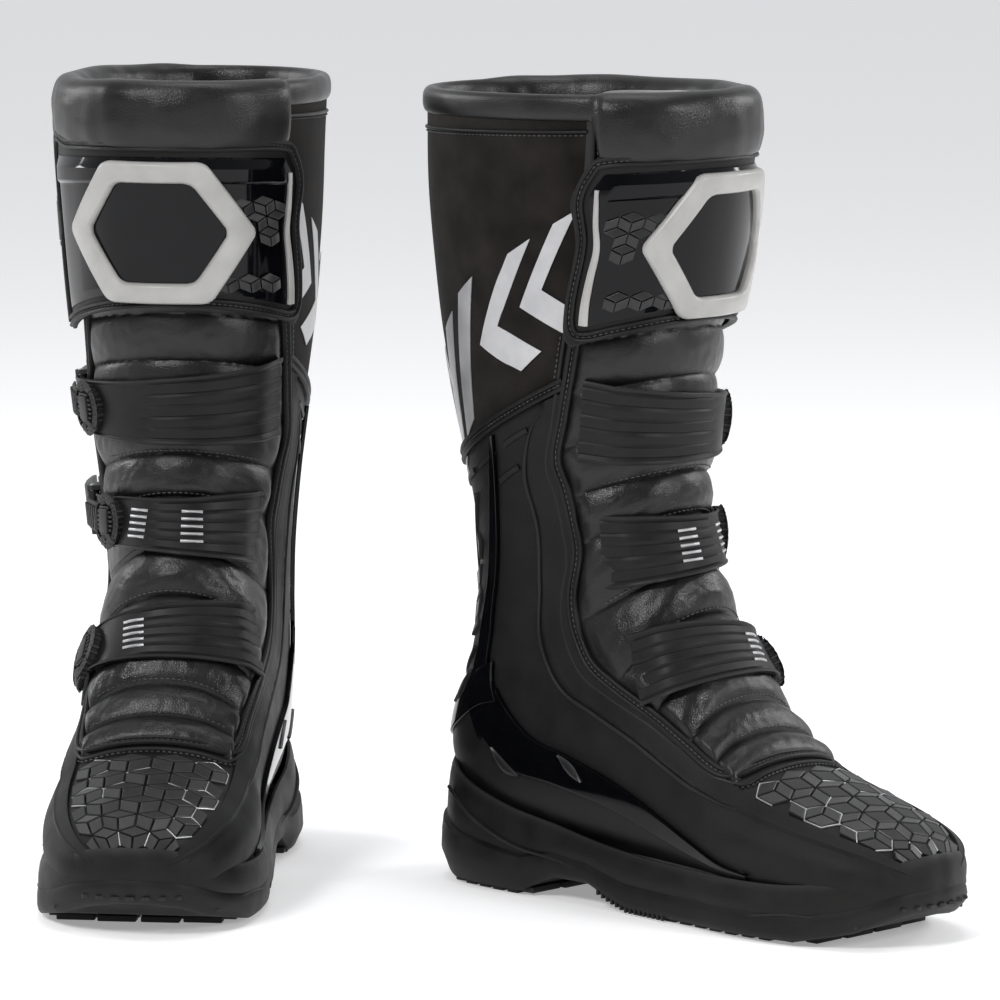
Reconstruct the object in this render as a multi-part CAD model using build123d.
"""A pair of tall buckled riding boots, each an assembly of separate pieces built on one last.

Every boot is designed on a bench: +X medial, toe towards -Y, +Z up, heel back at Y = 0 and the ground at Z = 0.
The bench boot is the right one. The left one is its mirror image, turned about +Z, and the pair stands side by side.
All sizes are in millimetres and all angles in degrees.

The last is a stack of stations from the toe to the collar. Each station is a plane through a front point
(top of the foot, then shin) and a back point (sole, then heel and calf). A girth angle of 0 is the front point,
180 the back point, positive angles are medial and negative ones lateral.
"""

import math
import os
from functools import lru_cache

from build123d import *

# Overall sizes of one boot.
UPPER_LENGTH = 309.0
BOOT_HEIGHT = 404.0
BALL_WIDTH = 106.0
CALF_WIDTH = 130.0

# How the pair stands: how far each boot's toe is turned out, and where the left heel is from the right one.
RIGHT_TURN = 7.0
LEFT_TURN = 47.0
LEFT_HEEL_X = 134.0
LEFT_HEEL_Y = -110.0

# Layers, as distances out from the last's outer surface. A gap parts each layer from the next.
LAYER_GAP = 0.5
SHELL_THICKNESS = 2.7
LINING_GAP = 1.4
LINING_THICKNESS = 4.5
OVERLAY_GAP = 0.9
OVERLAY_THICKNESS = 2.1
BELLOWS_RISE = 3.0
COLLAR_PADDING = 3.5
PANEL_SEAM = 1.2

# Sole.
SOLE_LIP = 4.0
SOLE_FLOOR = 5.0
ARCH_LIFT = 9.0
HEEL_BEVEL = 10.0
TOE_SPRING = 13.0
SIDEWALL_HEEL = 56.0
SIDEWALL_ARCH = 38.0
SIDEWALL_BALL = 30.0
SIDEWALL_TOE = 40.0
TREAD_DEPTH = 3.0
TREAD_GROOVE = 4.0
TREAD_PITCH = 13.0
MIDSOLE_INSET = 6.0
SHANK_WIDTH = 16.0
SHANK_THICKNESS = 1.5
FOOTBED_THICKNESS = 4.0

# Shin guard, which opens about its medial edge.
GUARD_CLEARANCE = 1.4
GUARD_FRAME_THICKNESS = 2.4
GUARD_PLATE_THICKNESS = 2.2
GUARD_BADGE_THICKNESS = 4.0
GUARD_BADGE_ACROSS = 74.0
GUARD_BADGE_BAR = 11.0
GUARD_BOTTOM = 15.7
GUARD_TOP = 18.3
GUARD_MEDIAL = 62.0
GUARD_LATERAL = -74.0
GUARD_BORDER = 6.0

# Straps, adjusters and levers.
STRAP_CLEARANCE = 2.6
STRAP_THICKNESS = 2.6
ADJUSTER_GAP = 0.9
ADJUSTER_RADIUS = 12.5
ADJUSTER_THICKNESS = 3.2
LADDER_WIDTH = 17.0
LADDER_THICKNESS = 2.0
LEVER_WIDTH = 20.0
LEVER_LENGTH = 46.0
LEVER_THICKNESS = 3.0
BASE_LENGTH = 30.0
BASE_THICKNESS = 1.8
BASE_CLEARANCE = 0.8
EAR_THICKNESS = 2.4
PIN_RADIUS = 1.6
PIN_CLEARANCE = 0.06
BARREL_WALL = 1.7
SIDE_CLEARANCE = 0.4
PIVOT_LIFT = 6.4

# Station rows at the base size: front point (forward of the heel, up), back point, half width, medial shift.
BASE_LENGTH_OF_ROWS = 309.0
BASE_HEIGHT_OF_ROWS = 404.0
BASE_FLOOR_OF_ROWS = 14.0
BASE_BALL_HALF = 53.0
BASE_CALF_HALF = 65.0
ROWS = [
    (309, 35, 309, 25, 12, 4),
    (305, 44, 305, 20, 27, 4),
    (294, 52, 294, 17, 39, 3.5),
    (272, 60, 272, 15, 48, 2.5),
    (243, 68, 243, 14, 52.5, 1),
    (216, 77, 216, 14, 53, 0),
    (195, 91, 192, 15, 50, -1),
    (179, 110, 160, 18, 47, -1),
    (167, 131, 122, 22, 45.5, 0),
    (158, 150, 75, 25, 45, 0),
    (151, 169, 30, 27, 44, 0),
    (145, 188, 1, 58, 43.5, 0),
    (142, 206, 9, 98, 45, 0),
    (141, 226, 19, 136, 47, 0),
    (142, 250, 19, 175, 50, 0),
    (145, 276, 12, 214, 54, 0),
    (149, 304, 2, 256, 58, 0),
    (154, 334, -6, 300, 61, 0),
    (159, 366, -11, 348, 63.5, 0),
    (163, 396, -12, 392, 65, 0),
    (164, 404, -12, 402, 65, 0),
]
LAST_ROW = len(ROWS) - 1
SHAFT_START = 12
COLLAR_START = 18.4

# How square each half of a station is: 2 is an ellipse.
FRONT_SQUARENESS = 2.15
SOLE_SQUARENESS = 2.9
BACK_SQUARENESS = 2.15

# Edge of the front opening, as (station, girth angle) pairs on the medial side. The lateral side mirrors it.
OPENING_EDGE = [
    (0, 47), (5, 47), (6, 50), (7.5, 60), (9, 68), (10.5, 67), (12, 62), (13, 64), (14, 66), (15, 62), (16, 57),
    (17, 55), (20, 54),
]
TOE_BOX_END = 5.2
QUARTER_TOP = 15.0
LASTING_EDGE = [(0, 128), (9, 132), (10, 150), (11, 164), (12, 168), (20, 168)]
FRAME_FRONT = [(5.4, 101), (7, 99), (8.5, 98), (9.5, 100), (10.5, 103), (12, 110), (13.5, 116)]
FRAME_BACK = [(5.4, 106), (7, 108), (8.5, 110), (9.5, 112), (10.5, 116), (12, 122), (13.5, 126)]
COUNTER_EDGE = [(8.9, 117), (9.5, 118), (10.5, 122), (11.6, 132)]
COUNTER_TOP = 11.6

# Closures, as (name, medial angle, heights at medial end, front and lateral end, lateral angle, widths likewise).
# Heights are at the base size. The lever lies beyond the lateral end.
CLOSURES = {
    "top": (58, (334, 334, 332), -66, (18, 18, 18)),
    "upper": (66, (246, 240, 240), -74, (40, 34, 24)),
    "middle": (56, (178, 180, 182), -58, (36, 28, 22)),
    "lower": (62, (118, 128, 104), -72, (36, 28, 22)),
}
STRAPS = ("upper", "middle", "lower")
LADDER_REACH = 17.0


def between(points, at):
    """The value of a smooth curve through (position, value) pairs, held flat past its ends."""
    if at <= points[0][0]:
        return points[0][1]
    if at >= points[-1][0]:
        return points[-1][1]
    i = max(k for k in range(len(points) - 1) if points[k][0] <= at)
    (x0, y0), (x1, y1) = points[i], points[i + 1]
    before, after = points[max(i - 1, 0)], points[min(i + 2, len(points) - 1)]
    m0 = (y1 - before[1]) / (x1 - before[0]) * (x1 - x0)
    m1 = (after[1] - y0) / (after[0] - x0) * (x1 - x0)
    s = (at - x0) / (x1 - x0)
    blend = (2 * s**3 - 3 * s**2 + 1, s**3 - 2 * s**2 + s, 3 * s**2 - 2 * s**3, s**3 - s**2)
    return blend[0] * y0 + blend[1] * m0 + blend[2] * y1 + blend[3] * m1


def height(base):
    """A height above the ground, from its height at the base size."""
    share = (base - BASE_FLOOR_OF_ROWS) / (BASE_HEIGHT_OF_ROWS - BASE_FLOOR_OF_ROWS)
    return BASE_FLOOR_OF_ROWS + share * (BOOT_HEIGHT - BASE_FLOOR_OF_ROWS)


def forward(base):
    """A distance forward of the heel, from its value at the base size."""
    return base * UPPER_LENGTH / BASE_LENGTH_OF_ROWS


def half_width(row_number, base):
    """A station's half width: the foot's rows follow the ball's width and the shaft's rows the calf's."""
    foot = BALL_WIDTH / 2 / BASE_BALL_HALF
    calf = CALF_WIDTH / 2 / BASE_CALF_HALF
    share = min(max((row_number - SHAFT_START) / (LAST_ROW - SHAFT_START), 0), 1)
    return base * (foot * (1 - share) + calf * share)


@lru_cache(maxsize=None)
def station(t):
    """Centre, front direction, half depth, half width and medial shift of the last at station t."""
    columns = [[(i, row[k]) for i, row in enumerate(ROWS)] for k in range(6)]
    front_f, front_z, back_f, back_z, half, shift = (between(column, t) for column in columns)
    front = Vector(0, -forward(front_f), height(front_z))
    back = Vector(0, -forward(back_f), height(back_z))
    return (front + back) / 2, (front - back).normalized(), (front - back).length / 2, half_width(t, half), shift


def last_point(t, angle, out=0.0):
    """The point at a girth angle of station t, a distance out from the last's surface."""
    centre, direction, half_depth, half, shift = station(round(t, 4))
    c, s = math.cos(math.radians(angle)), math.sin(math.radians(angle))
    sole = min(max((SHAFT_START - t) / 3, 0), 1)
    square = FRONT_SQUARENESS if c >= 0 else BACK_SQUARENESS + sole * (SOLE_SQUARENESS - BACK_SQUARENESS)
    along = math.copysign(abs(c) ** (2 / square), c) * (half_depth + out)
    across = math.copysign(abs(s) ** (2 / square), s) * (half + out)
    return centre + direction * along + Vector(shift + across, 0, 0)


def stations_between(start, end, step=0.5):
    """Stations from start to end, on the same steps for every piece so that layers run parallel."""
    inner = [k * step for k in range(int(LAST_ROW / step) + 1)]
    margin = step * 0.3
    return [start] + [t for t in inner if start + margin < t < end - margin] + [end]


def full_form(start, end, out):
    """The closed solid of the last between two stations, a distance out from its surface."""
    sections = []
    for t in stations_between(start, end):
        points = [last_point(t, angle, out) for angle in range(0, 360, 15)]
        sections.append(Wire([Edge.make_spline(points, periodic=True)]))
    return Solid.make_loft(sections)


def panel(start, end, low, high, inner, outer, pieces=10):
    """A shell panel between two stations and two girth edges, from the inner to the outer distance.

    low and high give the girth angle at a station.
    """
    sections = []
    steps = [k / pieces for k in range(pieces + 1)]
    for t in stations_between(start, end):
        a, b = low(t), high(t)
        outside = [last_point(t, a + (b - a) * k, outer) for k in steps]
        inside = [last_point(t, b + (a - b) * k, inner) for k in steps]
        sections.append(
            Wire(
                [
                    Edge.make_spline(outside, parameters=steps),
                    Edge.make_line(outside[-1], inside[0]),
                    Edge.make_spline(inside, parameters=steps),
                    Edge.make_line(inside[-1], outside[0]),
                ]
            )
        )
    return Solid.make_loft(sections)


def mirrored_panel(start, end, low, high, inner, outer, pieces=10):
    """The same panel on the lateral side."""
    return panel(start, end, lambda t: -high(t), lambda t: -low(t), inner, outer, pieces)


def opening_edge(t):
    """Girth angle of the front opening's medial edge."""
    return between(OPENING_EDGE, t)


def lasting_edge(t):
    """Girth angle where the shell turns under the foot, or meets the back stay."""
    return between(LASTING_EDGE, t)


def seam_angle(t):
    """Half of the gap between two panels of one layer, as a girth angle."""
    return math.degrees(PANEL_SEAM / 2 / station(round(t, 4))[3])


# Sole unit.
def plan_outline(inset=0.0):
    """The sole's outline from above, a distance inside its edge."""
    lip = SOLE_LIP - inset
    toe = Vector(ROWS[1][5], -forward(ROWS[0][0]) - lip, 0)
    heel = Vector(0, lip, 0)
    medial, lateral = [], []
    for row_number in range(2, 10):
        _, _, f, _, half, shift = ROWS[row_number]
        reach = half_width(row_number, half) + lip
        medial.append(Vector(shift + reach, -forward(f), 0))
        lateral.append(Vector(shift - reach, -forward(f), 0))
    heel_half = half_width(10, ROWS[10][4])
    for share, back in ((0.95, 30), (0.62, 7)):
        medial.append(Vector(heel_half * share + lip, -forward(back), 0))
        lateral.append(Vector(-heel_half * share - lip, -forward(back), 0))
    return make_face(Spline(toe, *medial, heel, *reversed(lateral), periodic=True))


def side_face(points):
    """A face in the side view, from (forward, up) points in order."""
    return make_face(Polyline(*[Vector(0, -f, z) for f, z in points], close=True))


def sole_bottom(lift=0.0, inset=0.0):
    """The sole's ground profile from heel to toe, lifted and drawn in by the amounts given."""
    return [
        (-SOLE_LIP + inset, HEEL_BEVEL + lift),
        (forward(24), lift),
        (forward(72), lift),
        (forward(84), ARCH_LIFT + lift),
        (forward(120), ARCH_LIFT + lift),
        (forward(142), lift),
        (forward(262), lift),
        (UPPER_LENGTH + SOLE_LIP - inset, TOE_SPRING + lift),
    ]


def sole_block(grow=0.0):
    """The sole's outer block, before it is hollowed for the foot."""
    overrun = 20.0
    top = [
        (UPPER_LENGTH + overrun, SIDEWALL_TOE),
        (forward(296), SIDEWALL_TOE - 2),
        (forward(262), SIDEWALL_BALL),
        (forward(150), SIDEWALL_BALL),
        (forward(100), SIDEWALL_ARCH),
        (forward(40), SIDEWALL_HEEL - 6),
        (-overrun, SIDEWALL_HEEL),
    ]
    bottom = sole_bottom()
    bottom[0] = (-overrun, HEEL_BEVEL * 1.6)
    bottom[-1] = (UPPER_LENGTH + overrun, TOE_SPRING * 1.4)
    profile = side_face([*bottom, *[(f, z + grow) for f, z in top]])
    slab = extrude(profile, amount=BALL_WIDTH, both=True, dir=(1, 0, 0))
    return extrude(plan_outline(-grow), amount=SIDEWALL_HEEL + overrun) & slab


def make_midsole():
    """The foam midsole, which fills the cup between the rubber floor and the foot."""
    top = height(ROWS[9][3]) + 3
    profile = side_face([*sole_bottom(SOLE_FLOOR, MIDSOLE_INSET), (UPPER_LENGTH, top), (0, top)])
    slab = extrude(profile, amount=BALL_WIDTH, both=True, dir=(1, 0, 0))
    block = extrude(plan_outline(MIDSOLE_INSET), amount=top + 5) & slab
    return block - full_form(0, SHAFT_START, LAYER_GAP)


def make_shank():
    """The steel shank, a strip that stiffens the waist of the sole."""
    line = [(68, 17.5), (118, 16.5), (152, 12.5), (186, 9.5)]
    lower = [(forward(f), z) for f, z in line]
    upper = [(f, z + SHANK_THICKNESS) for f, z in reversed(lower)]
    return extrude(side_face([*lower, *upper]), amount=SHANK_WIDTH / 2, both=True, dir=(1, 0, 0))


def make_outsole(midsole):
    """The rubber cup sole: floor, sidewall, toe bumper and cleated ground face."""
    sole = sole_block() - full_form(0, SHAFT_START, LAYER_GAP) - midsole
    for first, last in ((148, 262), (22, 72)):
        count = int((forward(last) - forward(first)) / TREAD_PITCH)
        for k in range(1, count + 1):
            y = -(forward(first) + k * (forward(last) - forward(first)) / (count + 1))
            groove = Box(BALL_WIDTH * 2, TREAD_GROOVE, TREAD_DEPTH * 2)
            sole = sole - Pos(0, y, 0) * groove
    return sole


def make_lining():
    """The padded sock: a foot part, closed at the toe, joined to a sleeve that lines the shaft."""
    outside = -SHELL_THICKNESS - LINING_GAP
    inside = outside - LINING_THICKNESS
    foot = full_form(0.8, SHAFT_START, outside) - full_form(1.8, SHAFT_START, inside)
    sleeve = full_form(SHAFT_START, COLLAR_START - 0.05, outside) - full_form(SHAFT_START, COLLAR_START + 0.3, inside)
    return foot + sleeve


def make_footbed():
    """The loose insole on the floor of the lining."""
    depth = SHELL_THICKNESS + LINING_GAP + LINING_THICKNESS
    cavity = full_form(1.9, 11.5, -depth - LAYER_GAP)
    heel_floor = height(ROWS[10][3]) + depth
    ball_floor = height(ROWS[4][3]) + depth
    top = [(0, heel_floor), (forward(60), heel_floor), (forward(200), ball_floor), (forward(290), ball_floor)]
    points = [(f, z + FOOTBED_THICKNESS) for f, z in top]
    profile = side_face([(0, 0), (forward(290), 0), *reversed(points)])
    return cavity & extrude(profile, amount=BALL_WIDTH, both=True, dir=(1, 0, 0))


def make_collar():
    """The padded collar, a ring that closes the top of the shell."""
    outer = full_form(COLLAR_START, LAST_ROW, COLLAR_PADDING)
    inner = full_form(COLLAR_START - 0.3, LAST_ROW + 0.001, -SHELL_THICKNESS - LINING_THICKNESS - LINING_GAP)
    return outer - inner


# Closures.
def surface_normal(t, angle):
    """The outward normal of the last's surface at a girth angle of station t."""
    small_t, small_angle = 0.05, 0.5
    along = last_point(t + small_t, angle) - last_point(t - small_t, angle)
    around = last_point(t, angle + small_angle) - last_point(t, angle - small_angle)
    return around.cross(along).normalized()


def closure_path(name, share, out):
    """A point over a closure's line, at a share of the way from its medial to its lateral end."""
    medial, heights, lateral, _ = CLOSURES[name]
    angle = medial + (lateral - medial) * share
    bend = min(share, 1.6)
    low, middle, high = (height(z) for z in heights)
    z = low * (1 - bend) * (1 - 2 * bend) + middle * 4 * bend * (1 - bend) + high * bend * (2 * bend - 1)
    start, end = 4.0, float(LAST_ROW)
    for _ in range(40):
        guess = (start + end) / 2
        if last_point(guess, angle).Z < z:
            start = guess
        else:
            end = guess
    return last_point(start, angle) + surface_normal(start, angle) * out


def closure_frame(name, share, out):
    """Origin, direction of travel and outward normal of a closure at a share of its line."""
    small = 0.01
    here = closure_path(name, share, out)
    travel = (closure_path(name, share + small, out) - closure_path(name, share - small, out)).normalized()
    lifted = closure_path(name, share, out + 1.0) - here
    normal = (lifted - travel * lifted.dot(travel)).normalized()
    return here, travel, normal


def share_beyond(name, share, distance, out):
    """The share of a closure's line that lies a distance further along it."""
    step, gone = 0.005, 0.0
    here = closure_path(name, share, out)
    while gone < distance:
        share += step
        there = closure_path(name, share, out)
        gone += (there - here).length
        here = there
    return share


def band(name, start, end, out, thickness, width, count=8):
    """A flat strip along a closure's line. width gives its width at a share of the line."""
    sections = []
    for k in range(count + 1):
        share = start + (end - start) * k / count
        here, travel, normal = closure_frame(name, share, out)
        side = normal.cross(travel)
        reach = side * (width(share) / 2)
        top = normal * thickness
        corners = [here - reach, here + reach, here + reach + top, here - reach + top]
        sections.append(Wire.make_polygon(corners, close=True))
    return Solid.make_loft(sections)


def strap_width(name, share):
    """A strap's width at a share of its line."""
    wide, middle, narrow = CLOSURES[name][3]
    return between([(0, wide), (0.5, middle), (1, narrow)], share)


def strap_level():
    """How far out the straps lie."""
    return BELLOWS_RISE + STRAP_CLEARANCE


def make_strap(name):
    """A moulded strap from its medial anchor to its adjuster."""
    return band(name, 0, 1, strap_level(), STRAP_THICKNESS, lambda share: strap_width(name, share))


def make_adjuster(name):
    """The round adjuster at the strap's end, with the toothed ladder that runs on to the lever."""
    level = strap_level() + STRAP_THICKNESS + ADJUSTER_GAP
    centre = share_beyond(name, 0.86, 0, level)
    here, travel, normal = closure_frame(name, centre, level)
    disc = Plane(origin=here, x_dir=travel, z_dir=normal) * Cylinder(
        ADJUSTER_RADIUS, ADJUSTER_THICKNESS, align=(Align.CENTER, Align.CENTER, Align.MIN)
    )
    return disc + make_ladder(name, centre, level + 0.5)


def ladder_end(name):
    """The share of a closure's line where its ladder ends, just ahead of the lever."""
    return share_beyond(name, 1, LADDER_REACH, strap_level())


def make_ladder(name, start, level):
    """The toothed tail of a strap."""
    return band(name, start, ladder_end(name), level, LADDER_THICKNESS, lambda share: LADDER_WIDTH, 6)


def pivot(name):
    """Centre, travel direction and normal of a lever's pin."""
    gap = PIN_RADIUS + BARREL_WALL + 1.5
    share = share_beyond(name, ladder_end(name), gap, strap_level())
    return closure_frame(name, share, PIVOT_LIFT)


def lever_plane(name):
    """Working plane of a lever: X along the lever, Y along its pin, Z away from the boot."""
    centre, travel, normal = pivot(name)
    return Plane(origin=centre, x_dir=travel, z_dir=normal)


def make_base(name):
    """A lever's base plate, with two ears for the pin."""
    bottom = BASE_CLEARANCE - PIVOT_LIFT
    plate_width = LEVER_WIDTH + 2 * (SIDE_CLEARANCE + EAR_THICKNESS)
    reach = PIN_RADIUS + BARREL_WALL
    plate = Pos(BASE_LENGTH / 2 - reach - 3, 0, bottom) * Box(
        BASE_LENGTH, plate_width, BASE_THICKNESS, align=(Align.CENTER, Align.CENTER, Align.MIN)
    )
    base = plate
    for side in (-1, 1):
        y = side * (LEVER_WIDTH / 2 + SIDE_CLEARANCE + EAR_THICKNESS / 2)
        ear = Pos(0, y, bottom / 2) * Box(2 * reach, EAR_THICKNESS, -bottom)
        eye = Pos(0, y, 0) * Rot(90, 0, 0) * Cylinder(reach, EAR_THICKNESS)
        base = base + ear + eye
    base = base - Rot(90, 0, 0) * Cylinder(PIN_RADIUS, plate_width * 2)
    return lever_plane(name) * base


def make_pin(name):
    """The steel pin of a lever, held in the base's ears."""
    length = LEVER_WIDTH + 2 * (SIDE_CLEARANCE + EAR_THICKNESS)
    return lever_plane(name) * (Rot(90, 0, 0) * Cylinder(PIN_RADIUS, length))


def make_lever(name):
    """A lever: a barrel on the pin and a slotted arm that lies back along the boot."""
    reach = PIN_RADIUS + BARREL_WALL
    droop = 5.0
    profile = make_face(
        Polyline(
            (0, reach),
            (LEVER_LENGTH * 0.55, reach),
            (LEVER_LENGTH, reach - droop),
            (LEVER_LENGTH, reach - droop - LEVER_THICKNESS * 0.7),
            (LEVER_LENGTH * 0.5, reach - LEVER_THICKNESS),
            (0, reach - LEVER_THICKNESS),
            close=True,
        )
    )
    arm = extrude(Rot(90, 0, 0) * profile, amount=LEVER_WIDTH / 2, both=True)
    barrel = Rot(90, 0, 0) * Cylinder(reach, LEVER_WIDTH)
    lever = arm + barrel
    for k in range(3):
        x = LEVER_LENGTH * (0.3 + 0.15 * k)
        lever = lever - Pos(x, 0, 0) * Box(LEVER_LENGTH * 0.07, LEVER_WIDTH * 0.6, 30)
    lever = lever - Rot(90, 0, 0) * Cylinder(PIN_RADIUS + PIN_CLEARANCE, LEVER_WIDTH * 2)
    return lever_plane(name) * lever


# Shin guard.
def guard_level():
    """How far out the shin guard's frame lies."""
    return BELLOWS_RISE + GUARD_CLEARANCE


def make_guard_frame():
    """The soft-edged frame that carries the shin plate, with its short ladder to the top lever."""
    level = guard_level()
    frame = panel(
        GUARD_BOTTOM, GUARD_TOP, lambda t: GUARD_LATERAL, lambda t: GUARD_MEDIAL, level,
        level + GUARD_FRAME_THICKNESS, 14,
    )
    start = closure_share("top", GUARD_LATERAL + 5)
    return frame + make_ladder("top", start, level + 0.2)


def closure_share(name, angle):
    """The share of a closure's line at a girth angle."""
    medial, _, lateral, _ = CLOSURES[name]
    return (angle - medial) / (lateral - medial)


def guard_border(t):
    """The plate's border inside its frame, as a girth angle."""
    return math.degrees(GUARD_BORDER / station(round(t, 4))[3])


def make_guard_plate():
    """The glossy shin plate on its frame."""
    level = guard_level() + GUARD_FRAME_THICKNESS + LAYER_GAP
    rise = GUARD_BORDER / 30.0
    return panel(
        GUARD_BOTTOM + rise, GUARD_TOP - rise, lambda t: GUARD_LATERAL + guard_border(t) + 6,
        lambda t: GUARD_MEDIAL - guard_border(t), level, level + GUARD_PLATE_THICKNESS, 12,
    )


def make_guard_badge():
    """A raised plain hexagonal ring on the shin plate."""
    level = guard_level() + GUARD_FRAME_THICKNESS + GUARD_PLATE_THICKNESS + 2 * LAYER_GAP
    middle = (GUARD_BOTTOM + GUARD_TOP) / 2
    layer = panel(
        GUARD_BOTTOM + 0.4, GUARD_TOP - 0.4, lambda t: -50, lambda t: 50, level, level + GUARD_BADGE_THICKNESS, 12
    )
    centre = last_point(middle, 0, level)
    view = Plane(origin=centre, x_dir=(1, 0, 0), z_dir=(0, -1, 0))
    ring = RegularPolygon(GUARD_BADGE_ACROSS / 2, 6) - RegularPolygon(GUARD_BADGE_ACROSS / 2 - GUARD_BADGE_BAR, 6)
    return layer & extrude(view * ring, amount=60, both=True)


def guard_hinge():
    """A point on the guard's hinge line, its travel direction and its outward normal."""
    level = guard_level()
    middle = (GUARD_BOTTOM + GUARD_TOP) / 2
    low, high = (last_point(t, GUARD_MEDIAL, level) for t in (GUARD_BOTTOM, GUARD_TOP))
    upward = (high - low).normalized()
    here = last_point(middle, GUARD_MEDIAL, level)
    outward = last_point(middle, GUARD_MEDIAL, level + 1) - here
    normal = (outward - upward * outward.dot(upward)).normalized()
    return here, normal.cross(upward), normal


def one_boot():
    """Every piece of the bench boot, by name."""
    shell = (-SHELL_THICKNESS, 0.0)
    overlay = (OVERLAY_GAP, OVERLAY_GAP + OVERLAY_THICKNESS)
    block = sole_block(LAYER_GAP)
    midsole = make_midsole()
    shank = make_shank()
    midsole = midsole - shank
    panel_low = lambda t: opening_edge(t) + seam_angle(t)
    panel_high = lambda t: lasting_edge(t) - seam_angle(t)
    calf_start = QUARTER_TOP + 0.05
    calf_end = COLLAR_START - 0.05
    counter = panel(
        COUNTER_EDGE[0][0], COUNTER_TOP, lambda t: between(COUNTER_EDGE, t), lambda t: 360 - between(COUNTER_EDGE, t),
        *overlay, 16,
    )
    frame_low, frame_high = (lambda t: between(FRAME_FRONT, t)), (lambda t: between(FRAME_BACK, t))
    frames = (
        panel(FRAME_FRONT[0][0], FRAME_FRONT[-1][0], frame_low, frame_high, *overlay, 5),
        mirrored_panel(FRAME_FRONT[0][0], FRAME_FRONT[-1][0], frame_low, frame_high, *overlay, 5),
    )
    pieces = {
        "outsole": make_outsole(midsole + shank),
        "midsole": midsole,
        "shank": shank,
        "footbed": make_footbed(),
        "lining": make_lining(),
        "toe_box": panel(0.3, TOE_BOX_END, lambda t: -opening_edge(t), opening_edge, *shell, 12),
        "medial_quarter": panel(0.3, QUARTER_TOP, panel_low, panel_high, *shell),
        "lateral_quarter": mirrored_panel(0.3, QUARTER_TOP, panel_low, panel_high, *shell),
        "heel_counter": counter - block,
        "ankle_frame": Compound([frame - block for frame in frames]),
        "back_stay": panel(COUNTER_TOP, calf_end, lasting_edge, lambda t: 360 - lasting_edge(t), *shell, 6),
        "bellows": panel(
            TOE_BOX_END + 0.05, calf_end, lambda t: -opening_edge(t), opening_edge, -SHELL_THICKNESS, BELLOWS_RISE, 12
        ),
        "medial_calf_panel": panel(calf_start, calf_end, panel_low, panel_high, *shell),
        "lateral_calf_panel": mirrored_panel(calf_start, calf_end, panel_low, panel_high, *shell),
        "collar": make_collar(),
        "lever_bases": Compound([make_base(name) for name in CLOSURES]),
        "lever_pins": Compound([make_pin(name) for name in CLOSURES]),
        "shin_frame": make_guard_frame(),
        "shin_plate": make_guard_plate(),
        "shin_badge": make_guard_badge(),
    }
    for name in STRAPS:
        pieces[f"{name}_strap"] = make_strap(name)
        pieces[f"{name}_adjuster"] = make_adjuster(name)
    for name in CLOSURES:
        pieces[f"{name}_lever"] = make_lever(name)
    return pieces


def right_place():
    """Where the bench boot stands in the pair, before the pair is centred."""
    return Location((0, 0, 0), (0, 0, -RIGHT_TURN))


def left_place():
    """Where the mirrored boot stands in the pair, before the pair is centred."""
    return Location((LEFT_HEEL_X, LEFT_HEEL_Y, 0)) * Location((0, 0, 0), (0, 0, LEFT_TURN))


def placed_pair():
    """Every piece of both boots by node name, with the pair centred over the origin, and the centring move."""
    pieces = one_boot()
    pair = {f"right_{name}": right_place() * piece for name, piece in pieces.items()}
    pair |= {f"left_{name}": left_place() * mirror(piece, about=Plane.YZ) for name, piece in pieces.items()}
    boxes = [piece.bounding_box() for piece in pair.values()]
    x = (min(box.min.X for box in boxes) + max(box.max.X for box in boxes)) / 2
    y = (min(box.min.Y for box in boxes) + max(box.max.Y for box in boxes)) / 2
    z = min(box.min.Z for box in boxes)
    move = Location((-x, -y, -z))
    return {name: move * piece for name, piece in pair.items()}, move


def main():
    """Writes one STEP file per node."""
    os.makedirs("parts", exist_ok=True)
    pair, _ = placed_pair()
    for name, piece in pair.items():
        export_step(piece, f"parts/{name}.step")


if __name__ == "__main__":
    main()
